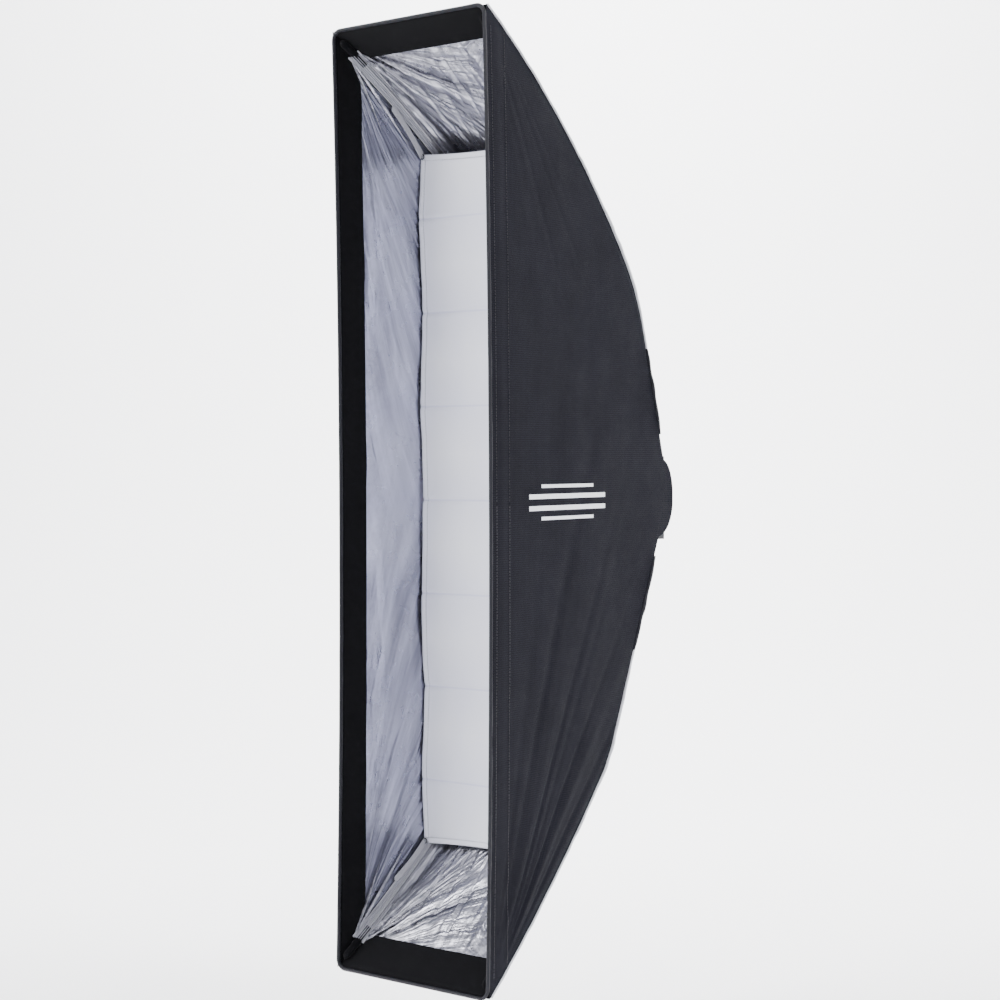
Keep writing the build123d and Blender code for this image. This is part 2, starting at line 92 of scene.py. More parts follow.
UPPER = Half("upper", 1, (31.2, 50.4, 72.6), (1.470, 0.353), 0.209)
LOWER = Half("lower", -1, (37.9, 46.6, 65.4), (2.700, 0.226), 0.332)
HALVES = (UPPER, LOWER)
SIDES = (("left", -1), ("right", 1))


def seam(half, inset=0.0, count=160):
    """Points (y, |z|) down the seam from front corner to hub, moved in by inset, evenly spaced."""
    a, b, c = half.angles
    r1, r2 = half.radii
    angle = np.concatenate([np.linspace(a, b, 200), np.linspace(b, c, 80)[1:]])
    radius = np.where(np.arange(len(angle) - 1) < 199, r1, r2)
    mid = (angle[1:] + angle[:-1]) / 2
    step = radius * np.diff(angle)
    y = -DEPTH + np.concatenate([[0], np.cumsum(step * np.cos(mid))])
    z = HALF_HEIGHT - np.concatenate([[0], np.cumsum(step * np.sin(mid))])
    run = np.linspace(0, half.straight, 60)[1:]
    y = np.concatenate([y, y[-1] + run * math.cos(c)])
    z = np.concatenate([z, z[-1] - run * math.sin(c)])
    tangent = np.gradient(y), np.gradient(z)
    size = np.hypot(*tangent)
    y, z = y + inset * tangent[1] / size, z - inset * tangent[0] / size
    along = np.concatenate([[0], np.cumsum(np.hypot(np.diff(y), np.diff(z)))])
    at = np.linspace(0, along[-1], count)
    return np.stack([np.interp(at, along, y), np.interp(at, along, z)], 1)


def directions(line):
    """Unit vectors along a line of points."""
    tangent = np.gradient(line, axis=0)
    return tangent / np.linalg.norm(tangent, axis=1)[:, None]


def half_width(y):
    """The shell's half width at a depth."""
    return HALF_REAR + (HALF_FRONT - HALF_REAR) * (-y) / DEPTH


# ---- noise and folds


class Noise:
    """Smooth value noise over two coordinates, the same each run."""

    def __init__(self, seed):
        self.grid = np.random.default_rng(seed).uniform(-1, 1, (256, 256))

    def __call__(self, u, v):
        i, j = np.floor(u).astype(int), np.floor(v).astype(int)
        fu, fv = u - i, v - j
        fu, fv = fu**3 * (fu * (fu * 6 - 15) + 10), fv**3 * (fv * (fv * 6 - 15) + 10)
        g = self.grid
        a, b = g[i % 256, j % 256], g[(i + 1) % 256, j % 256]
        c, d = g[i % 256, (j + 1) % 256], g[(i + 1) % 256, (j + 1) % 256]
        return (a * (1 - fu) + b * fu) * (1 - fv) + (c * (1 - fu) + d * fu) * fv


def smooth(x, low, high):
    """0 below low, 1 above high, with a soft step between."""
    t = np.clip((x - low) / (high - low), 0, 1)
    return t * t * (3 - 2 * t)


def front_bow(y, z):
    """How far the rim and the cloth behind it are pulled back at mid height."""
    pull = FRONT_BOW * (1 - np.clip(np.abs(z) / HALF_HEIGHT, 0, 1) ** 2)
    return pull * (1 - smooth(y, -DEPTH, -DEPTH + 0.22))


def fan(y, z, at, count, low, high, seed, reach):
    """Ridges that run out of a corner at 'at' between two angles, wider and lower as they go."""
    rng = np.random.default_rng(seed)
    dy, dz = y - at[0], z - at[1]
    radius, angle = np.hypot(dy, dz), np.arctan2(dz, dy)
    total = np.zeros_like(y)
    for middle in np.linspace(low, high, count):
        width = math.radians(rng.uniform(0.7, 1.7))
        lean = middle + math.radians(rng.uniform(-1.2, 1.2)) + rng.uniform(-0.06, 0.06) * radius
        length = reach * rng.uniform(0.5, 1.0)
        height = rng.uniform(0.4, 1.0) * rng.choice((-1, 1))
        ridge = np.exp(-(((angle - lean) / width) ** 2))
        fade = np.exp(-((radius / length) ** 2))
        total += height * ridge * fade * smooth(radius, 0.02, 0.14)
    return total


# ---- meshes


def add_piece(name, points, faces, material):
    """A smooth shaded mesh object in the scene."""
    mesh = bpy.data.meshes.new(name)
    mesh.from_pydata(points, [], faces)
    mesh.shade_smooth()
    mesh.materials.append(material)
    piece = bpy.data.objects.new(name, mesh)
    bpy.context.scene.collection.objects.link(piece)
    return piece


def grid_mesh(name, points, material, wrap=False):
    """A quad mesh over an array of points (rows, columns, 3); wrap joins the last column to the first."""
    rows, cols = points.shape[:2]
    index = np.arange(rows * cols).reshape(rows, cols)
    last = cols if wrap else cols - 1
    faces = []
    for k in range(last):
        n = (k + 1) % cols
        faces.append(np.stack([index[:-1, k], index[1:, k], index[1:, n], index[:-1, n]], 1))
    faces = np.concatenate(faces)
    return add_piece(name, points.reshape(-1, 3).tolist(), faces.tolist(), material)


def thicken(piece, thickness, offset=-1):
    """Gives an open sheet its cloth thickness."""
    solid = piece.modifiers.new("cloth", "SOLIDIFY")
    solid.thickness = thickness
    solid.offset = offset
    return piece


def face_out(piece, outward):
    """Turns a sheet's faces so that their mean normal lies along outward."""
    mean = Vector((0, 0, 0))
    for face in piece.data.polygons:
        mean += face.normal * face.area
    if mean.dot(Vector(outward)) < 0:
        piece.data.flip_normals()
    return piece


def join_shading(first, second):
    """Gives two pieces that meet at mid height the same normals there, so that no line shows."""
    pieces = (first, second)
    places = [np.array([v.co for v in p.data.vertices], float) for p in pieces]
    normals = [np.array([n.vector for n in p.data.vertex_normals], float) for p in pieces]
    middle = [np.flatnonzero(np.abs(co[:, 2]) < 1e-6) for co in places]
    for i in middle[0]:
        gap = np.linalg.norm(places[1][middle[1]] - places[0][i], axis=1)
        if len(gap) and gap.min() < 1e-4:
            j = middle[1][gap.argmin()]
            shared = normals[0][i] + normals[1][j]
            shared /= np.linalg.norm(shared)
            normals[0][i] = normals[1][j] = shared
    for piece, normal in zip(pieces, normals):
        piece.data.normals_split_custom_set_from_vertices(normal.tolist())


def tube(name, path, radius, material, sides=12, closed=False, caps=True, across=(1.0, 0.0, 0.0)):
    """A tube round a path of points; across is a direction that the path never runs along."""
    path = np.asarray(path, float)
    if closed:
        tangent = np.roll(path, -1, 0) - np.roll(path, 1, 0)
    else:
        tangent = np.gradient(path, axis=0)
    tangent /= np.linalg.norm(tangent, axis=1)[:, None]
    normal = np.cross(tangent, across)
    normal /= np.linalg.norm(normal, axis=1)[:, None]
    other = np.cross(tangent, normal)
    turn = np.linspace(0, 2 * math.pi, sides, endpoint=False)
    ring = np.cos(turn)[None, :, None] * normal[:, None] + np.sin(turn)[None, :, None] * other[:, None]
    radius = np.broadcast_to(np.asarray(radius, float), (len(path),))
    points = path[:, None] + ring * radius[:, None, None]
    if closed:
        points = np.concatenate([points, points[:1]])
    piece = grid_mesh(name, points, material, wrap=True)
    if closed or caps:
        bm = bmesh.new()
        bm.from_mesh(piece.data)
        if closed:
            bmesh.ops.remove_doubles(bm, verts=bm.verts, dist=1e-6)
        else:
            bmesh.ops.holes_fill(bm, edges=[e for e in bm.edges if e.is_boundary], sides=0)
        bm.to_mesh(piece.data)
        bm.free()
    return piece


# ---- cloth baked in place


def follow(piece):
    """Bakes the piece's placement into its mesh."""
    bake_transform(piece)
    return piece


# ---- materials


class Shader:
    """A material's node tree, with short ways to add and join nodes."""

    def __init__(self, name, color, roughness, **values):
        self.material = bpy.data.materials.new(name)
        self.material.use_nodes = True
        self.tree = self.material.node_tree
        self.base = self.tree.nodes["Principled BSDF"]
        self.base.inputs["Base Color"].default_value = (*color, 1)
        self.base.inputs["Roughness"].default_value = roughness
        for key, value in values.items():
            self.base.inputs[key.replace("_", " ")].default_value = value
        self.place = self.node("ShaderNodeTexCoord").outputs["Object"]
        self.height = None

    def node(self, kind):
        return self.tree.nodes.new(kind)

    def join(self, out, into):
        self.tree.links.new(out, into)

    def scaled(self, scale):
        mapping = self.node("ShaderNodeMapping")
        mapping.inputs["Scale"].default_value = scale
        self.join(self.place, mapping.inputs["Vector"])
        return mapping.outputs["Vector"]

    def noise(self, scale, detail=2.0, stretch=(1, 1, 1), roughness=0.5, distortion=0.0):
        made = self.node("ShaderNodeTexNoise")
        made.inputs["Scale"].default_value = scale
        made.inputs["Detail"].default_value = detail
        made.inputs["Roughness"].default_value = roughness
        made.inputs["Distortion"].default_value = distortion
        self.join(self.scaled(stretch), made.inputs["Vector"])
        return made.outputs["Fac"]

    def wave(self, scale, direction, distortion=0.0):
        made = self.node("ShaderNodeTexWave")
        made.bands_direction = direction
        made.inputs["Scale"].default_value = scale
        made.inputs["Distortion"].default_value = distortion
        self.join(self.place, made.inputs["Vector"])
        return made.outputs["Fac"]

    def voronoi(self, scale):
        made = self.node("ShaderNodeTexVoronoi")
        made.feature = "DISTANCE_TO_EDGE"
        made.inputs["Scale"].default_value = scale
        self.join(self.place, made.inputs["Vector"])
        return made.outputs["Distance"]

    def math(self, how, a, b):
        made = self.node("ShaderNodeMath")
        made.operation = how
        for socket, value in zip(made.inputs, (a, b)):
            if isinstance(value, (int, float)):
                socket.default_value = value
            else:
                self.join(value, socket)
        return made.outputs[0]

    def colour(self, fac, low, high, color_a, color_b):
        """The base colour goes from one colour to another as fac goes from low to high."""
        made = self.node("ShaderNodeValToRGB")
        first, last = made.color_ramp.elements
        first.position, last.position = low, high
        first.color, last.color = (*color_a, 1), (*color_b, 1)
        self.join(fac, made.inputs["Fac"])
        self.join(made.outputs["Color"], self.base.inputs["Base Color"])

    def spread(self, value, kind="LINEAR", **ends):
        """A value mapped from one range to another, 0 to 1 where an end isn't given."""
        made = self.node("ShaderNodeMapRange")
        made.interpolation_type = kind
        for key, end in ends.items():
            made.inputs[key.replace("_", " ").title()].default_value = end
        self.join(value, made.inputs["Value"])
        return made.outputs["Result"]

    def rough(self, fac, low, high):
        self.join(self.spread(fac, to_min=low, to_max=high), self.base.inputs["Roughness"])

    def bump(self, height, distance, strength=1.0):
        made = self.node("ShaderNodeBump")
        made.inputs["Distance"].default_value = distance
        made.inputs["Strength"].default_value = strength
        self.join(height, made.inputs["Height"])
        if self.height is not None:
            self.join(self.height, made.inputs["Normal"])
        self.height = made.outputs["Normal"]
        self.join(self.height, self.base.inputs["Normal"])


def black_cloth(name, across):
    """Black coated cloth with a fine ripstop grid; across is the axis that its weft runs over."""
    soft = {"Sheen_Weight": 0.01, "Sheen_Roughness": 0.4, "Specular_IOR_Level": 0.08, "IOR": 1.25}
    s = Shader(name, (0.008, 0.008, 0.01), 0.55, **soft)
    grid = s.math("MAXIMUM", s.wave(100, "Z"), s.wave(100, across))
    threads = s.math("MULTIPLY", s.math("POWER", grid, 8.0), s.math("ADD", s.noise(9, 4), 0.3))
    s.colour(threads, 0.0, 1.0, (0.005, 0.005, 0.0075), (0.017, 0.017, 0.025))
    s.rough(s.noise(30, 3), 0.46, 0.62)
    s.bump(s.math("MULTIPLY", s.wave(700, "Z"), s.wave(700, across)), 0.00012)
    s.bump(grid, 0.0001, 0.5)
    s.bump(s.noise(14, 4, (1, 2, 0.6)), 0.0016, 0.35)
    return s.material


def foil_cloth(name, axis, corner, swap, dark, light, contrast, crush):
    """Silver foil cloth, with painted shade and painted reflection in streaks along pleats that fan out of its
    front corners.

    axis is the direction along the front edge, corner the distance of the corners along it, and
    swap the place and width of the change from one corner's fan to the other's.
    """
    s = Shader(name, light, 0.3, Metallic=0.92)
    parts = s.node("ShaderNodeSeparateXYZ")
    s.join(s.place, parts.inputs["Vector"])
    back = s.math("ADD", parts.outputs["Y"], -(LIP_BACK - 0.02))

    def fan_of(way):
        out = s.math("SUBTRACT", corner, s.math("MULTIPLY", parts.outputs[axis], way))
        angle = s.math("ARCTAN2", back, out)
        reach = s.math("SQRT", s.math("ADD", s.math("MULTIPLY", out, out), s.math("MULTIPLY", back, back)), 0)
        return angle, reach

    def streaks(fan, turns, runs, detail, lean, seed):
        bent = s.math("ADD", fan[0], s.math("MULTIPLY", fan[1], lean))
        polar = s.node("ShaderNodeCombineXYZ")
        s.join(s.math("MULTIPLY", bent, turns), polar.inputs["X"])
        s.join(s.math("MULTIPLY", fan[1], runs), polar.inputs["Y"])
        polar.inputs["Z"].default_value = seed
        made = s.node("ShaderNodeTexNoise")
        made.inputs["Scale"].default_value = 1.0
        made.inputs["Detail"].default_value = detail
        made.inputs["Distortion"].default_value = 0.35
        s.join(polar.outputs["Vector"], made.inputs["Vector"])
        return made.outputs["Fac"]

    place, width = swap
    turn = s.spread(parts.outputs[axis], "SMOOTHSTEP", from_min=place - width, from_max=place + width)

    def both(turns, runs, detail, lean):
        one, other = (streaks(fan_of(way), turns, runs, detail, lean, 3.7 * way) for way in (-1, 1))
        part = s.math("MULTIPLY", s.math("SUBTRACT", other, one), turn)
        return s.math("ADD", one, part)

    # the streaks set the bumps, and through the colour ramp they give painted shade and painted reflection of the
    # pleats
    broad = both(7.0, 2.2, 3.0, 0.5)
    narrow = both(26.0, 5.0, 4.0, -0.3)
    crinkle = s.noise(95, 5, (1, 1, 1), 0.66, 0.5)
    at_band = s.spread(back, from_min=0.10, from_max=0.02)
    # painted shade and painted reflection of the crinkled foil near the band
    crinkle_shade = s.math("MULTIPLY", s.math("SUBTRACT", crinkle, 0.5), at_band)
    mixed = s.math("ADD", s.math("MULTIPLY", broad, 0.6), s.math("MULTIPLY", narrow, 0.4))
    shade = s.math("ADD", mixed, s.math("MULTIPLY", crinkle_shade, crush))
    # the foil's colour: painted shade and painted reflection from the pleat streaks and crinkles, running from
    # dark to light
    s.colour(shade, 0.5 - contrast, 0.5 + contrast, dark, light)
    s.rough(s.noise(40, 4), 0.2, 0.38)
    s.bump(broad, 0.012, 0.7)
    s.bump(narrow, 0.004, 0.7)
    s.bump(crinkle, 0.0012, 0.5 * crush)
    s.bump(s.voronoi(60), 0.0006, 0.3)
    return s.material


def loop_tape():
    """Fuzzy black loop tape, which takes almost all light."""
    soft = {"Sheen_Weight": 0.04, "Sheen_Roughness": 0.6, "Specular_IOR_Level": 0.05, "IOR": 1.25}
    s = Shader("loop_tape", (0.007, 0.007, 0.009), 0.95, **soft)
    fuzz = s.noise(900, 4)
    s.colour(fuzz, 0.3, 0.8, (0.002, 0.002, 0.0025), (0.006, 0.006, 0.0075))
    s.bump(fuzz, 0.0006, 0.8)
    s.bump(s.noise(12, 3), 0.002, 0.3)
    return s.material


def binding_tape():
    """Black ribbed binding, a little shinier than the cloth."""
    soft = {"Sheen_Weight": 0.02, "Sheen_Roughness": 0.4, "Specular_IOR_Level": 0.25}
    s = Shader("binding_tape", (0.01, 0.01, 0.014), 0.42, **soft)
    ribs = s.wave(420, "DIAGONAL")
    s.colour(ribs, 0.1, 0.9, (0.005, 0.005, 0.007), (0.014, 0.014, 0.021))
    s.bump(ribs, 0.0002)
    s.bump(s.noise(60, 3), 0.0006, 0.5)
    return s.material


def white_cloth():
    """White diffuser cloth, cloudy, with painted shade at its storage folds and across each fold panel."""
    s = Shader("white_diffuser", (0.88, 0.88, 0.95), 0.75, Sheen_Weight=0.1, Specular_IOR_Level=0.3)
    parts = s.node("ShaderNodeSeparateXYZ")
    s.join(s.place, parts.inputs["Vector"])
    # painted shade: a thin dark line at each storage fold, and a wider darkening that fades from each fold to the
    # panel's middle
    from_fold = s.math("PINGPONG", parts.outputs["Z"], FOLD_STEP / 2)
    fold_line_shade = s.math("MULTIPLY", s.math("LESS_THAN", from_fold, 0.0014), 0.32)
    soft = s.math("MULTIPLY", s.math("SUBTRACT", 1.0, s.math("MULTIPLY", from_fold, 2 / FOLD_STEP)), 0.22)
    cloudy = s.math("MULTIPLY", s.noise(7, 4, (1, 1, 0.6)), 0.6)
    shade = s.math("ADD", s.math("ADD", fold_line_shade, soft), cloudy)
    s.colour(shade, 0.15, 1.0, (0.93, 0.94, 1.0), (0.66, 0.67, 0.83))
    s.rough(s.noise(50, 3), 0.6, 0.85)
    threads = s.math("MULTIPLY", s.wave(700, "Z"), s.wave(700, "X"))
    s.bump(threads, 0.00012)
    s.bump(s.noise(16, 5, (1.5, 1, 1), 0.6), 0.002, 0.3)
    return s.material


def ribbed_tape(name, dark, light, direction="Z", scale=330):
    """Woven tape, cord or webbing with ribs across it."""
    s = Shader(name, light, 0.5, Sheen_Weight=0.2)
    ribs = s.wave(scale, direction, 0.4)
    s.colour(s.math("MULTIPLY", ribs, s.math("ADD", s.noise(90, 3), 0.5)), 0.1, 0.9, dark, light)
    s.bump(ribs, 0.0004)
    s.bump(s.noise(200, 2), 0.0002, 0.5)
    return s.material


def painted(name, dark, light, roughness):
    """Paint or moulded plastic with a fine grain."""
    s = Shader(name, light, roughness)
    s.colour(s.noise(25, 5), 0.3, 0.7, dark, light)
    s.rough(s.noise(70, 4), roughness * 0.85, min(1.0, roughness * 1.2))
    s.bump(s.noise(1040, 2), 0.00012, 0.6)
    return s.material


def drawn_metal(name, dark, light, roughness):
    """Bare metal with fine lines drawn across it."""
    s = Shader(name, light, roughness, Metallic=1.0)
    lines = s.noise(60, 4, (1, 30, 1))
    s.colour(lines, 0.3, 0.7, dark, light)
    s.rough(s.noise(20, 3), roughness * 0.8, roughness * 1.3)
    s.bump(lines, 0.00008, 0.6)
    return s.material


def print_ink():
    """Slightly uneven light print."""
    s = Shader("print_ink", (0.8, 0.8, 0.82), 0.55)
    s.colour(s.noise(300, 3), 0.2, 0.7, (0.72, 0.72, 0.74), (0.84, 0.84, 0.86))
    s.bump(s.noise(500, 2), 0.0001, 0.4)
    return s.material


M = {
    "cloth": black_cloth("black_cloth", "Y"),
    "end_cloth": black_cloth("black_cloth_end", "X"),
    # dark and light: the ends of the foil's painted shade and painted reflection
    "lining": foil_cloth(
        "silver_lining", "Z", HALF_HEIGHT - 0.05, swap=(0, 0.15),
        dark=(0.17, 0.17, 0.215), light=(0.60, 0.61, 0.74), contrast=0.20, crush=0.3,
    ),
    "end_lining": foil_cloth(
        "silver_lining_end", "X", HALF_FRONT - 0.01, swap=(0.06, 0.05),
        dark=(0.10, 0.10, 0.125), light=(0.76, 0.76, 0.83), contrast=0.17, crush=0.8,
    ),
    "loop": loop_tape(),
    "binding": binding_tape(),
    "white": white_cloth(),
    "tape": ribbed_tape("silver_tape", (0.30, 0.30, 0.34), (0.62, 0.62, 0.68)),
    "edge": ribbed_tape("tape_edge", (0.5, 0.5, 0.54), (0.8, 0.8, 0.85)),
    "piping": ribbed_tape("silver_piping", (0.55, 0.56, 0.6), (0.85, 0.86, 0.9), "DIAGONAL", 500),
    "elastic": ribbed_tape("white_elastic", (0.5, 0.5, 0.54), (0.8, 0.8, 0.84), "Z", 420),
    "webbing": ribbed_tape("black_webbing", (0.008, 0.008, 0.01), (0.03, 0.03, 0.035), "Z", 300),
    "zinc_steel": drawn_metal("zinc_steel", (0.5, 0.5, 0.5), (0.68, 0.69, 0.7), 0.3),
    "black_metal": painted("black_metal", (0.014, 0.014, 0.016), (0.028, 0.028, 0.031), 0.4),
    "steel": drawn_metal("steel", (0.5, 0.5, 0.51), (0.72, 0.72, 0.73), 0.22),
    "screw_steel": drawn_metal("screw_steel", (0.05, 0.05, 0.055), (0.12, 0.12, 0.13), 0.35),
    "red_lever": painted("red_lever", (0.33, 0.02, 0.02), (0.5, 0.035, 0.03), 0.35),
    "black_plastic": painted("black_plastic", (0.016, 0.016, 0.017), (0.03, 0.03, 0.032), 0.5),
    "rod_steel": drawn_metal("rod_steel", (0.3, 0.3, 0.31), (0.5, 0.5, 0.52), 0.3),
    "ink": print_ink(),
}

# ---- the shell


def edges_of(half, inset=0.0):
    """The side panel's outline as |z| over depth: the seam, then the round flap behind it."""
    line = seam(half, inset, 600)
    end_y, end_z = line[-1]
    other = seam(LOWER if half is UPPER else UPPER, inset, 600)[-1]
    apex = FLAP_APEX - inset
    y = np.linspace(end_y, apex, 60)[1:]
    t = (y - end_y) / (apex - end_y)
    flap = end_z * np.sqrt(np.clip(1 - t**2, 0, 1)) * (1 - 0.12 * t * (1 - t))
    return np.concatenate([line, np.stack([y, flap], 1)])


OUTLINE_UP, OUTLINE_LOW = edges_of(UPPER), edges_of(LOWER)
crease = Noise(11)
ripple = Noise(12)


def side_shape(side, y, z, inside=0.0):
    """The side cloth's x at a depth and height: slight belly, soft folds and ripples."""
    body = np.sin(np.pi * np.clip((y + DEPTH) / (DEPTH - 0.03), 0, 1)) ** 0.8
    edge = smooth(-np.abs(z), -0.69, -0.35)
    belly = 0.0045 * body * (0.4 + 0.6 * edge)
    low_fan = fan(y, z, (-DEPTH, -HALF_HEIGHT), 9, math.radians(48), math.radians(76), 21 + side, 0.75)
    high_fan = fan(y, z, (-DEPTH, HALF_HEIGHT), 6, math.radians(-78), math.radians(-50), 31 + side, 0.4)
    folds = 0.0030 * low_fan + 0.0013 * high_fan
    hem_ridge = np.exp(-(((y + DEPTH - 0.028) / 0.008) ** 2))
    hem_dip = np.exp(-(((y + DEPTH - 0.046) / 0.010) ** 2))
    upright = hem_ridge - 0.7 * hem_dip
    folds += 0.0011 * upright * (0.6 + 0.4 * ripple(z * 4, y * 3))
    folds += 0.0016 * ripple(y * 7 + 5, z * 3.2) + 0.0006 * ripple(y * 22, z * 9 + 3)
    hold = smooth(y, PANEL_FRONT, PANEL_FRONT + 0.02) * (1 - 0.6 * smooth(y, -0.10, -0.03))
    edge_up, edge_low = (np.interp(y, line[:, 0], line[:, 1]) for line in (OUTLINE_UP, OUTLINE_LOW))
    edge_z = np.where(z > 0, edge_up, edge_low)
    hold = hold * (1 - smooth(np.abs(z), edge_z - 0.022, edge_z - 0.001))
    return side * (half_width(y) - inside + belly * 0.6 * hold + folds * hold * (0.35 + 0.65 * body))


def lining_relief(y, z, seed):
    """Small crinkles and long pleats of the silver cloth."""
    fine = crease(y * 60 + seed, z * 26) * 0.00035 + crease(y * 120, z * 60 + seed) * 0.00016
    ridged = (0.5 - np.abs(crease(y * 34 + z * 9, z * 11 + seed))) * 0.0011
    near = smooth(np.abs(z), 0.42, 0.66)
    return fine * (0.5 + 1.4 * near) + ridged * (0.35 + 0.8 * near)


def side_grid(half, y_values, inset, rows):
    """Depth and height grids over one half of a side wall, from mid height out to its edge."""
    outline = edges_of(half, inset)
    top = np.interp(y_values, outline[:, 0], outline[:, 1])
    v = np.linspace(0, 1, rows)
    y = np.repeat(y_values[None, :], rows, 0)
    z = half.sign * v[:, None] * top[None, :]
    return y, z


def depth_values(front, back, count):
    """Depths from front to back, closer together towards the hub, where the outline turns."""
    t = np.linspace(0, 1, count)
    t = 1 - (1 - t) ** 1.6
    return front + (back - front) * t


def side_walls():
    """Both sides, shell and lining, in an upper and a lower half that meet at mid height."""
    for side_name, side in SIDES:
        shells, linings = [], []
        for half in HALVES:
            y_values = depth_values(PANEL_FRONT, FLAP_APEX - 0.0006, 150)
            y, z = side_grid(half, y_values, 0.0, 190)
            x = side_shape(side, y, z)
            points = np.stack([x, y + front_bow(y, z), z], 2)
            shell = grid_mesh(f"side_shell_{half.name}_{side_name}", points, M["cloth"])
            face_out(shell, (side, 0, 0))
            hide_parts(f"side_panel_{side_name}")
            shells.append(shell)

            y_values = depth_values(LINING_FRONT, FLAP_APEX - 0.006, 170)
            y, z = side_grid(half, y_values, 0.0016, 230)
            away = np.clip(1 - np.abs(z) / np.maximum(np.abs(z[-1:]), 1e-6), 0, 1)
            depth = (0.0012 + lining_relief(y, z, 3 * side)) * smooth(away, 0, 0.02)
            x = side_shape(side, y, z, LINING_IN) - side * np.maximum(depth, 0)
            points = np.stack([x, y + front_bow(y, z), z], 2)
            lining = grid_mesh(f"side_lining_{half.name}_{side_name}", points, M["lining"])
            face_out(lining, (-side, 0, 0))
            linings.append(lining)
        join_shading(*shells)
        join_shading(*linings)
        for half, shell, lining in zip(HALVES, shells, linings):
            follow(shell)
            follow(lining)


END_LAYERS = (("shell", 0.0002, "end_cloth", 90), ("lining", 0.0018, "end_lining", 150))


def end_walls():
    """Top and bottom cloth, which turn whole with the rods at their edges."""
    for half in HALVES:
        name = "top" if half is UPPER else "bottom"
        node = f"{name}_panel"
        for layer, inset, material, columns in END_LAYERS:
            line = seam(half, inset, 260)
            front = PANEL_FRONT if layer == "shell" else LINING_FRONT
            line = line[(line[:, 0] >= front) & (line[:, 1] > END_PANEL_STOP)]
            tangent = directions(line)
            t = np.linspace(-1, 1, columns)
            along = np.linspace(0, 1, len(line))
            across, run = np.meshgrid(t, along)
            y = np.repeat(line[:, :1], columns, 1)
            z = np.repeat(line[:, 1:], columns, 1)
            edge = 1 - across**2
            pucker = crease(run * 60 + 9, across * 3) * np.exp(-((1 - np.abs(across)) / 0.16)) * 0.0022
            sag = -0.006 * edge * np.sin(np.pi * run) ** 0.7
            relief = sag + 0.0022 * ripple(run * 9, across * 2.5) * edge + pucker * smooth(edge, 0, 0.1)
            if layer == "lining":
                broad = np.abs(crease(across * 9, run * 7 + 3)) * 0.003
                fine = np.abs(crease(across * 30, run * 26)) * 0.0012
                relief = relief - (0.0015 + broad + fine) * smooth(edge, 0, 0.08)
            held_to = LIP_BACK - 0.004 if layer == "lining" else PANEL_FRONT
            relief = relief * smooth(y, held_to, LIP_BACK + 0.035)
            y = y + relief * -tangent[:, 1:]
            z = z + relief * tangent[:, :1]
            x = across * (half_width(y) - 0.0012 - inset)
            points = np.stack([x, y + front_bow(y, z), half.sign * z], 2)
            piece = grid_mesh(f"{name}_{layer}", points, M[material])
            face_out(piece, (0, 0, half.sign) if layer == "shell" else (0, 0, -half.sign))
            if layer == "shell":
                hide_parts(node)
            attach(piece, f"arm_{half.name}_left")


# ---- rim

STITCH, STITCH_GAP, THREAD = 0.0034, 0.0012, 0.00035  # length, gap and the thread's radius
THREAD_SHAPE = ((0, 0.4), (0.2, 1), (0.8, 1), (1, 0.4))  # place along a stitch, share of the radius
HEM_ROWS = (0.014, 0.047)  # the stitched rows, back from the rim


def stitches(name, path, material):
    """A row of machine stitches along a path of points: short raised threads with gaps between."""
    path = np.asarray(path, float)
    along = np.concatenate([[0], np.cumsum(np.linalg.norm(np.diff(path, axis=0), axis=1))])
    verts, faces = [], []
    for start in np.arange(0.002, along[-1] - STITCH, STITCH + STITCH_GAP):
        ends = [np.array([np.interp(at, along, c) for c in path.T]) for at in (start, start + STITCH)]
        way = (ends[1] - ends[0]) / np.linalg.norm(ends[1] - ends[0])
        first = np.cross(way, (0.31, 0.52, 0.79))
        first /= np.linalg.norm(first)
        second = np.cross(way, first)
        base = len(verts)
        for t, size in THREAD_SHAPE:
            middle = ends[0] + (ends[1] - ends[0]) * t
            for k in range(5):
                turn = 2 * math.pi * k / 5
                verts.append(middle + THREAD * size * (first * math.cos(turn) + second * math.sin(turn)))
        for ring in range(3):
            for k in range(5):
                n = (k + 1) % 5
                low, high = base + 5 * ring, base + 5 * ring + 5
                faces.append((low + k, low + n, high + n, high + k))
        faces += [tuple(base + k for k in (4, 3, 2, 1, 0)), tuple(base + 15 + k for k in range(5))]
    return add_piece(name, [tuple(v) for v in verts], faces, material)


def hem_stitches():
    """The rows that hold the rim's hem, on the outside of the shell."""
    for half in HALVES:
        for side_name, side in SIDES:
            for row, depth in enumerate(HEM_ROWS):
                z = half.sign * np.linspace(0.001, HALF_HEIGHT - 0.030, 240)
                y = np.full(240, -DEPTH + depth)
                x = side_shape(side, y, z) + side * 0.0002
                path = np.stack([x, y + front_bow(y, z), z], 1)
                row_piece = stitches(f"hem_stitch_{half.name}_{side_name}_{row}", path, M["webbing"])
                follow(row_piece)
        line = seam(half, 0.0, 800)
        place = line[int(np.argmax(line[:, 0] > -DEPTH + 0.016))]
        x = np.linspace(-HALF_FRONT + 0.012, HALF_FRONT - 0.012, 60)
        path = np.stack([x, np.full(60, place[0]), np.full(60, half.sign * (place[1] + 0.0002))], 1)
        row_piece = stitches(f"end_stitch_{half.name}", path, M["webbing"])
        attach(row_piece, f"arm_{half.name}_left")


def rim_line(half, inset, corner):
    """Half of the rim's rounded rectangle as (x, z): up the left side, over the end, down the right."""
    w, h = HALF_FRONT - inset, HALF_HEIGHT - inset
    up = np.arange(0, h - corner, 0.006)
    left = np.stack([np.full(len(up), -w), up], 1)
    turn = np.linspace(0, math.pi / 2, 14)
    bend = np.stack([-w + corner - corner * np.cos(turn), h - corner + corner * np.sin(turn)], 1)
    over = np.linspace(-w + corner, w - corner, 36)[1:-1]
    top = np.stack([over, np.full(len(over), h)], 1)
    right = np.concatenate([left, bend])[::-1] * (-1, 1)
    line = np.concatenate([left, bend, top, right])
    return line * (1, half.sign)


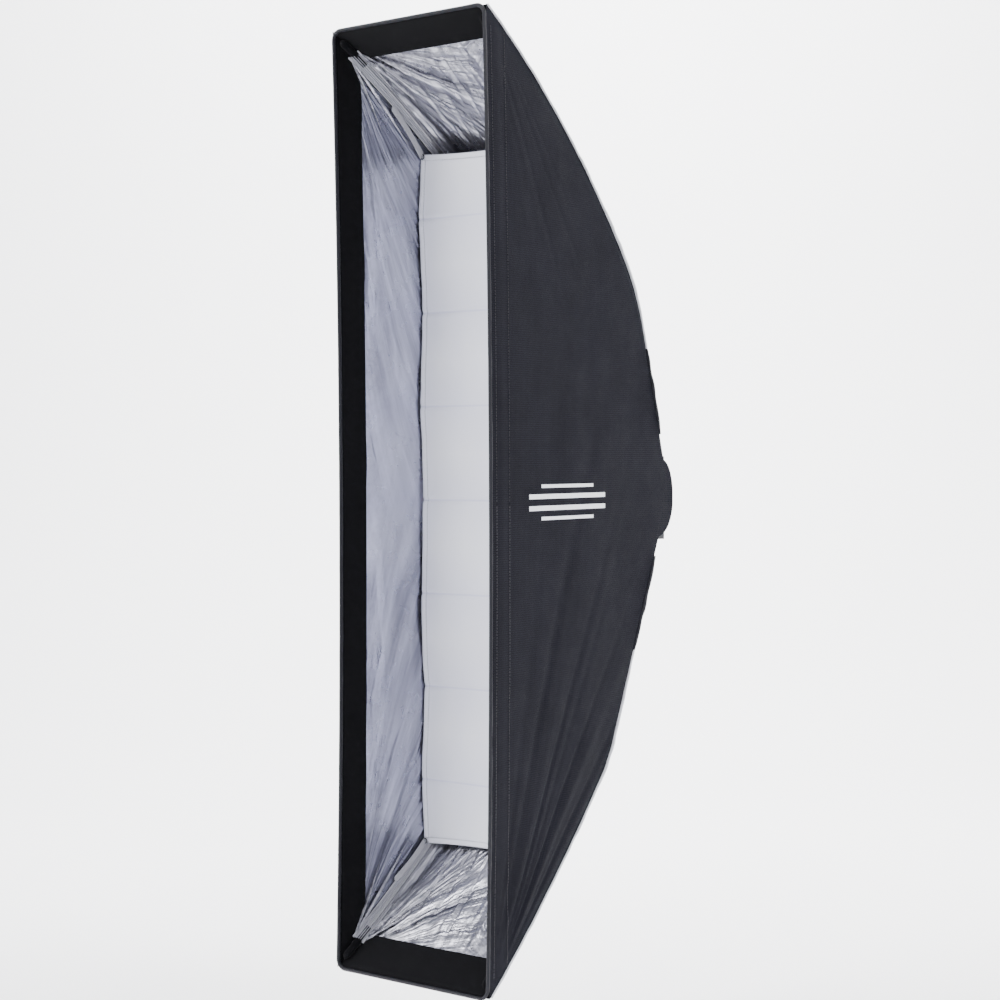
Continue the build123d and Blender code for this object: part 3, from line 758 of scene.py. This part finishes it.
def binding():
    """The rolled hem round the rim."""
    rolls = []
    for half in HALVES:
        line = rim_line(half, BINDING_RADIUS, 0.014)
        wobble = 0.0004 * ripple(line[:, 1] * 30 + 4, line[:, 0] * 30)
        y = np.full(len(line), -DEPTH + BINDING_RADIUS)
        y = y + front_bow(y, line[:, 1]) + wobble
        path = np.stack([line[:, 0], y, line[:, 1]], 1)
        radius = BINDING_RADIUS - 0.0002 + wobble * 0.5
        roll = tube(f"front_hem_{half.name}", path, radius, M["binding"], 14, caps=False, across=(0, 1.0, 0))
        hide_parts("front_binding")
        rolls.append(roll)
    join_shading(*rolls)
    for half, roll in zip(HALVES, rolls):
        follow(roll)


def loop_band():
    """The black band inside the rim, mitred at its corners and slightly wavy at its back edge."""
    bands = []
    for half in HALVES:
        line = rim_line(half, 0.0, 0.006)
        back = seam(half, 0.0, 400)
        rows = []
        for d in np.linspace(0, 1, 15):
            y = PANEL_FRONT - 0.001 + d * (LIP_BACK - PANEL_FRONT + 0.002)
            shrink = 0.0040 + (HALF_FRONT - half_width(y))
            fall = HALF_HEIGHT - np.interp(y, back[:, 0], back[:, 1])
            x = np.sign(line[:, 0]) * np.minimum(np.abs(line[:, 0]), HALF_FRONT - shrink)
            scale = (HALF_HEIGHT - fall - 0.0040) / HALF_HEIGHT
            z = line[:, 1] * scale
            wave = 0.0009 * ripple(line[:, 1] * 16, line[:, 0] * 16 + 7) * d
            bow = front_bow(np.full(len(line), y), line[:, 1])
            rows.append(np.stack([x - np.sign(x) * np.abs(wave), y + bow + wave * 1.5, z], 1))
        band = grid_mesh(f"rim_band_{half.name}", np.array(rows), M["loop"])
        if band.data.polygons[0].normal.x < 0:
            band.data.flip_normals()
        end = "top" if half is UPPER else "bottom"
        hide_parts(*[f"loop_band_{n}" for n in ("left", "right", end)])
        bands.append(band)
    join_shading(*bands)
    for half, band in zip(HALVES, bands):
        follow(band)


# ---- what runs along the rods


def corner_point(half, side, y, z, from_side, from_end, tangent):
    """A point a distance in from the side wall and from the end wall, beside the seam."""
    normal = np.stack([tangent[:, 1], -tangent[:, 0]], 1)
    yy = y + normal[:, 0] * from_end
    zz = z + normal[:, 1] * from_end
    return np.stack([side * (half_width(yy) - from_side), yy, half.sign * zz], 1)


TAPE_CORDS = (("light", 0.06, 0.0013, "edge"), ("dark", -0.12, 0.0010, "webbing"))


def sleeves():
    """The ribbed tape over each rod, sewn to both walls, with a light edge on each side."""
    for half in HALVES:
        line = seam(half, 0.0, 220)
        tangent = directions(line)
        keep = (line[:, 0] > LIP_BACK - 0.014) & (line[:, 1] > 0.105)
        line, tangent = line[keep], tangent[keep]
        y, z = line[:, 0], line[:, 1]
        for side_name, side in SIDES:
            profile = []
            for t in np.linspace(0, 1, 49):
                a, b, c = (1 - t) ** 2, 2 * t * (1 - t), t * t
                rib = 0.0009 * math.cos(2 * math.pi * 6 * t)
                from_side = a * 0.0032 + b * 0.0195 + c * 0.0160 + rib
                from_end = a * 0.0160 + b * 0.0195 + c * 0.0038 + rib
                profile.append(corner_point(half, side, y, z, from_side, from_end, tangent))
            points = np.stack(profile, 1)
            wander = 0.0004 * ripple(np.arange(len(y)) / 9.0, np.full(len(y), float(side)))
            points[:, :, 2] += wander[:, None]
            tape = grid_mesh(f"rod_tape_{half.name}_{side_name}", points, M["tape"])
            face_out(tape, (-side, -0.5, -half.sign))
            thicken(tape, 0.0006)
            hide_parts(f"rod_sleeve_{half.name}_{side_name}")
            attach(tape, f"arm_{half.name}_{side_name}")
            for edge, column in (("side", 0), ("end", -1)):
                toward = points[:, 24] - points[:, column]
                for tone, share, radius, finish in TAPE_CORDS:
                    path = points[:, column] + toward * share
                    cord = tube(f"tape_{tone}_{half.name}_{side_name}_{edge}", path, radius, M[finish], 8)
                    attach(cord, f"arm_{half.name}_{side_name}")


# wall, how far a pleat spreads from the seam, its length and its radius
PLEATS = (
    ("side", 0.030, 0.17, 0.0028),
    ("side", 0.052, 0.11, 0.0020),
    ("end", 0.034, 0.14, 0.0034),
    ("end", 0.054, 0.07, 0.0020),
)


def pleats():
    """Folds of the foil that run back from each front corner beside the rod tape."""
    for half in HALVES:
        line = seam(half, 0.0, 500)
        tangent = directions(line)
        start = int(np.argmax(line[:, 0] > LIP_BACK - 0.006))
        step = np.hypot(*(line[1] - line[0]))
        for side_name, side in SIDES:
            for number, (wall, spread, length, radius) in enumerate(PLEATS):
                count = int(length / step)
                part = slice(start, start + count)
                t = np.linspace(0, 1, count)
                lift = 0.0028 + 0.75 * radius
                out = 0.018 + spread * t**1.1 * 0.9
                near = np.full(count, lift)
                ins = (near, out) if wall == "side" else (out, near)
                path = corner_point(half, side, line[part, 0], line[part, 1], *ins, tangent[part])
                width = radius * np.clip(np.minimum(t * 5 + 0.35, (1 - t) * 2.2 + 0.05), 0, 1)
                width = width * (1 + 0.12 * ripple(t * 18 + number, t * 3))
                fold = tube(f"foil_pleat_{half.name}_{side_name}_{number}", path, width, M["end_lining"], 18)
                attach(fold, f"arm_{half.name}_{side_name}")


def piping():
    """The cord in the seams outside the shell: light, then black where the hem turns over beside the hub."""
    for half in HALVES:
        line = seam(half, -0.0018, 300)
        line = line[(line[:, 0] > PANEL_FRONT + 0.004) & (line[:, 1] > (0.10 if half is UPPER else 0.09))]
        t = np.linspace(0, 1, len(line))
        cut = int(np.argmax(line[:, 1] < CORD_END))
        for side_name, side in SIDES:
            wander = 0.0005 * ripple(np.arange(len(line)) / 7.0, np.full(len(line), 2.0 + side))
            x = side * (half_width(line[:, 0]) + 0.0002 + wander)
            path = np.stack([x, line[:, 0], half.sign * (line[:, 1] + wander)], 1)
            radius = 0.0018 + 0.0010 * np.exp(-(((t - 0.62) / 0.14) ** 2))
            cord = tube(f"seam_piping_{half.name}_{side_name}", path[:cut], radius[:cut], M["piping"], 10)
            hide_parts(f"piping_{half.name}_{side_name}")
            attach(cord, f"arm_{half.name}_{side_name}")
            rest = np.linspace(0, 1, len(line) - cut + 2)
            swell = 0.0014 + 0.0016 * np.sin(np.pi * rest) ** 0.6 * (1 + 0.25 * np.sin(rest * 17))
            roll = tube(f"seam_hem_{half.name}_{side_name}", path[cut - 2:], swell, M["binding"], 12)
            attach(roll, f"arm_{half.name}_{side_name}")


def pockets():
    """The sewn pouch over each rod's front end."""
    for half in HALVES:
        for side_name, side in SIDES:
            low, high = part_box(f"corner_pocket_{half.name}_{side_name}")
            centre_x = (low.x + high.x) / 2
            line = seam(half, ROD_IN, 400)
            line = line[(line[:, 0] > low.y + 0.001) & (line[:, 0] < LIP_BACK + 0.004)]
            line = line[:: max(1, len(line) // 14)]
            x = np.linspace(high.x if side > 0 else low.x, low.x if side > 0 else high.x, len(line))
            x = centre_x + (x - centre_x) * 0.25
            path = np.stack([x, line[:, 0], half.sign * line[:, 1]], 1)
            t = np.linspace(0, 1, len(line))
            round_end = np.sqrt(np.clip(1 - (1 - np.minimum(t * 6, 1)) ** 2, 0.05, 1))
            radius = 0.0059 * round_end + 0.0003 * np.sin(t * 14)
            pouch = tube(f"rod_pouch_{half.name}_{side_name}", path, radius, M["loop"], 16)
            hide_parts(f"corner_pocket_{half.name}_{side_name}")
            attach(pouch, f"arm_{half.name}_{side_name}")


# ---- inner baffle


def baffle_y(x, z):
    """The baffle's depth: storage folds, a slack middle and small waves at its long edges."""
    phase = z / FOLD_STEP
    zigzag = np.abs((phase % 2) - 1) - 0.5
    sharp = np.exp(-(((phase - np.round(phase)) * FOLD_STEP / 0.0032) ** 2))
    edge = smooth(np.abs(x), 0.075, 0.126)
    wave = 0.0009 * edge * np.sin(z * 31 + np.sign(x) * 1.3 + 0.8 * np.sin(z * 9))
    slack = 0.006 * (1 - (x / 0.126) ** 2) * (1 - (z / 0.53) ** 2)
    return BAFFLE_Y + 0.0060 * zigzag + 0.0018 * sharp + wave + slack + 0.0012 * ripple(x * 14, z * 9)


def baffle():
    """The white inner sheet in two halves, with a stitched hem on its three outer edges."""
    sheets = []
    for half in HALVES:
        t = np.linspace(-1, 1, 90)
        v = np.linspace(0, 1, 240)
        across, up = np.meshgrid(t, v)
        z = half.sign * up * BAFFLE_HALF_HEIGHT
        pull = 0.0005 * np.sin(z * 36 + 1.1) + 0.0003 * np.sin(z * 83)
        pull = pull + 0.0010 * (1 - (z / BAFFLE_HALF_HEIGHT) ** 8)
        x = across * (BAFFLE_HALF_WIDTH - np.abs(pull))
        z = z - half.sign * 0.006 * (1 - across**2) * up**6
        y = baffle_y(x, z)
        points = np.stack([x, y, z], 2)
        sheet = grid_mesh(f"baffle_sheet_{half.name}", points, M["white"])
        face_out(sheet, (0, -1, 0))
        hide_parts("inner_baffle")
        sheets.append(sheet)
        strips = {"left": points[:-3, :4], "right": points[:-3, -4:], "end": points[-5:, :]}
        for part, strip in strips.items():
            strip = strip.copy()
            strip[..., 1] -= 0.0008
            hem = grid_mesh(f"baffle_hem_{half.name}_{part}", strip, M["white"])
            face_out(hem, (0, -1, 0))
            thicken(hem, 0.0011, 0)
            follow(hem)
            inner = {"left": strip[:, -1], "right": strip[:, 0], "end": strip[0]}[part]
            row = stitches(f"baffle_stitch_{half.name}_{part}", inner - (0, 0.0007, 0), M["edge"])
            follow(row)
    join_shading(*sheets)
    for half, sheet in zip(HALVES, sheets):
        follow(sheet)


RING_RADIUS = 0.0036


def straps():
    """The elastics that tie the baffle's corners to the rods, each with a dark ring."""
    for half in HALVES:
        for side_name, side in SIDES:
            line = seam(half, 0.0, 500)
            tangent = directions(line)
            tip = int(np.argmax(line[:, 0] > BAFFLE_Y - 0.050))
            here = slice(tip, tip + 1)
            sewn = corner_point(half, side, line[here, 0], line[here, 1], 0.0075, 0.021, tangent[here])[0]
            corner_x, corner_z = side * (BAFFLE_HALF_WIDTH - 0.005), half.sign * (BAFFLE_HALF_HEIGHT - 0.004)
            corner = np.array((corner_x, BAFFLE_Y - 0.0015, corner_z))
            across, up = np.meshgrid(np.linspace(-1, 1, 9), np.linspace(0, 1, 26))
            round_end = np.sqrt(np.clip(1 - np.clip((up - 0.93) / 0.07, 0, 1) ** 2, 0.02, 1))
            width = 0.0052 * round_end * (1 - 0.18 * np.sin(np.pi * up))
            along = (sewn - corner) / np.linalg.norm(sewn - corner)
            flat = np.cross(along, (1.0, 0.25 * side, 0))
            flat /= np.linalg.norm(flat)
            points = corner + up[..., None] * (sewn - corner) + (across * width)[..., None] * flat
            points[..., 0] -= side * 0.0022 * np.sin(np.pi * up)
            band = grid_mesh(f"baffle_strap_{half.name}_{side_name}", points, M["elastic"])
            face_out(band, (-side, -0.3, 0))
            thicken(band, 0.001, 0)
            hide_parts(f"baffle_elastic_{half.name}_{side_name}")
            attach(band, f"arm_{half.name}_{side_name}")
            turn = np.linspace(0, 2 * math.pi, 24, endpoint=False)
            x, z = corner[0] + RING_RADIUS * np.cos(turn), corner[2] + RING_RADIUS * np.sin(turn)
            path = np.stack([x, np.full(24, corner[1] - 0.0012), z], 1)
            name = f"baffle_ring_{half.name}_{side_name}"
            ring = tube(name, path, 0.0009, M["screw_steel"], 8, closed=True, across=(0, 1.0, 0))
            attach(ring, f"arm_{half.name}_{side_name}")


# ---- plain printed mark

# each bar's near and far edge from mid height, and where it starts and ends in depth
BARS = ((0.005, 0.012, -0.440, -0.225), (0.021, 0.026, -0.405, -0.260))


def mark():
    """A generic print on the right side: plain bars, with no lettering."""

    def patch(name, y, z):
        x = side_shape(1, y, z) + 0.0004
        piece = grid_mesh(name, np.stack([x, y + front_bow(y, z), z], 2), M["ink"])
        face_out(piece, (1, 0, 0))
        follow(piece)

    for half in HALVES:
        for number, (near, far, start, end) in enumerate(BARS):
            z, y = np.meshgrid(half.sign * np.linspace(near, far, 4), np.linspace(start, end, 40))
            patch(f"print_bar_{half.name}_{number}", y, z)


# ---- build

side_walls()
end_walls()
binding()
hem_stitches()
loop_band()
sleeves()
pleats()
piping()
pockets()
straps()
baffle()
mark()

slots = {s["node"]: s["material_slot"] for s in frame["record"]["subparts"]}
for node, piece in frame["nodes"].items():
    finish = M.get(slots[node])
    if finish:
        piece.data.materials.clear()
        piece.data.materials.append(finish)

# ---- stage, light and camera


def stage():
    """A pale floor that curves up into a wall behind."""
    profile = [(-6.0, 0.0), (1.6, 0.0)]
    profile += [(1.6 + 1.8 * math.sin(a), 1.8 - 1.8 * math.cos(a)) for a in np.linspace(0.1, math.pi / 2, 16)]
    profile += [(3.4, 6.0)]
    across = np.linspace(-9, 9, 4)
    turn = math.radians(40)
    points = np.array([[(x, y, z) for x in across] for y, z in profile])
    x, y = points[..., 0].copy(), points[..., 1].copy()
    points[..., 0] = x * math.cos(turn) - y * math.sin(turn)
    points[..., 1] = x * math.sin(turn) + y * math.cos(turn)
    points[..., 2] -= 0.86
    s = Shader("floor", (0.95, 0.95, 0.95), 0.9, Specular_IOR_Level=0.1)
    s.colour(s.noise(2, 3), 0.3, 0.7, (0.95, 0.95, 0.955), (0.97, 0.97, 0.975))
    floor = grid_mesh("stage_floor", points, s.material)


def area_light(name, at, target, size, power):
    """A soft rectangular light aimed at a point."""
    lamp = bpy.data.lights.new(name, "AREA")
    lamp.shape = "RECTANGLE"
    lamp.size, lamp.size_y = size
    lamp.energy = power
    piece = bpy.data.objects.new(name, lamp)
    piece.location = at
    piece.rotation_euler = (Vector(target) - Vector(at)).to_track_quat("-Z", "Y").to_euler()
    bpy.context.scene.collection.objects.link(piece)


def camera():
    """The viewing angle: 40 degrees round to the right of the opening, just above level."""
    azimuth, elevation, roll = map(math.radians, (40.146, 1.245, -0.196))
    level = math.cos(elevation)
    back = Vector((math.sin(azimuth) * level, -math.cos(azimuth) * level, math.sin(elevation)))
    right = Vector((math.cos(azimuth), math.sin(azimuth), 0))
    up = back.cross(right)
    across = math.cos(roll) * right + math.sin(roll) * up
    over = -math.sin(roll) * right + math.cos(roll) * up
    data = bpy.data.cameras.new("camera")
    data.lens, data.sensor_width = 75.13, 36
    piece = bpy.data.objects.new("camera", data)
    bpy.context.scene.collection.objects.link(piece)
    turn = Matrix((across, over, back)).transposed().to_4x4()
    piece.matrix_world = Matrix.Translation((2.0432, -2.7542, 0.0696)) @ turn
    bpy.context.scene.camera = piece


stage()
world = bpy.data.worlds.new("world")
world.use_nodes = True
world.node_tree.nodes["Background"].inputs["Color"].default_value = (0.93, 0.94, 1.0, 1)
world.node_tree.nodes["Background"].inputs["Strength"].default_value = 1.3
bpy.context.scene.world = world
area_light("key", (-1.6, -3.4, 2.2), (0, -0.4, 0.1), (1.6, 2.2), 150)
area_light("side", (2.7, 0.2, 3.6), (0.1, -0.3, 0.5), (1.2, 2.0), 150)
area_light("rim", (0.6, 2.2, 2.2), (0, -0.2, 0.1), (2.0, 1.0), 70)
area_light("backdrop", (-0.7, 0.9, 2.6), (-1.9, 2.4, 0.2), (3.0, 1.0), 400)
camera()
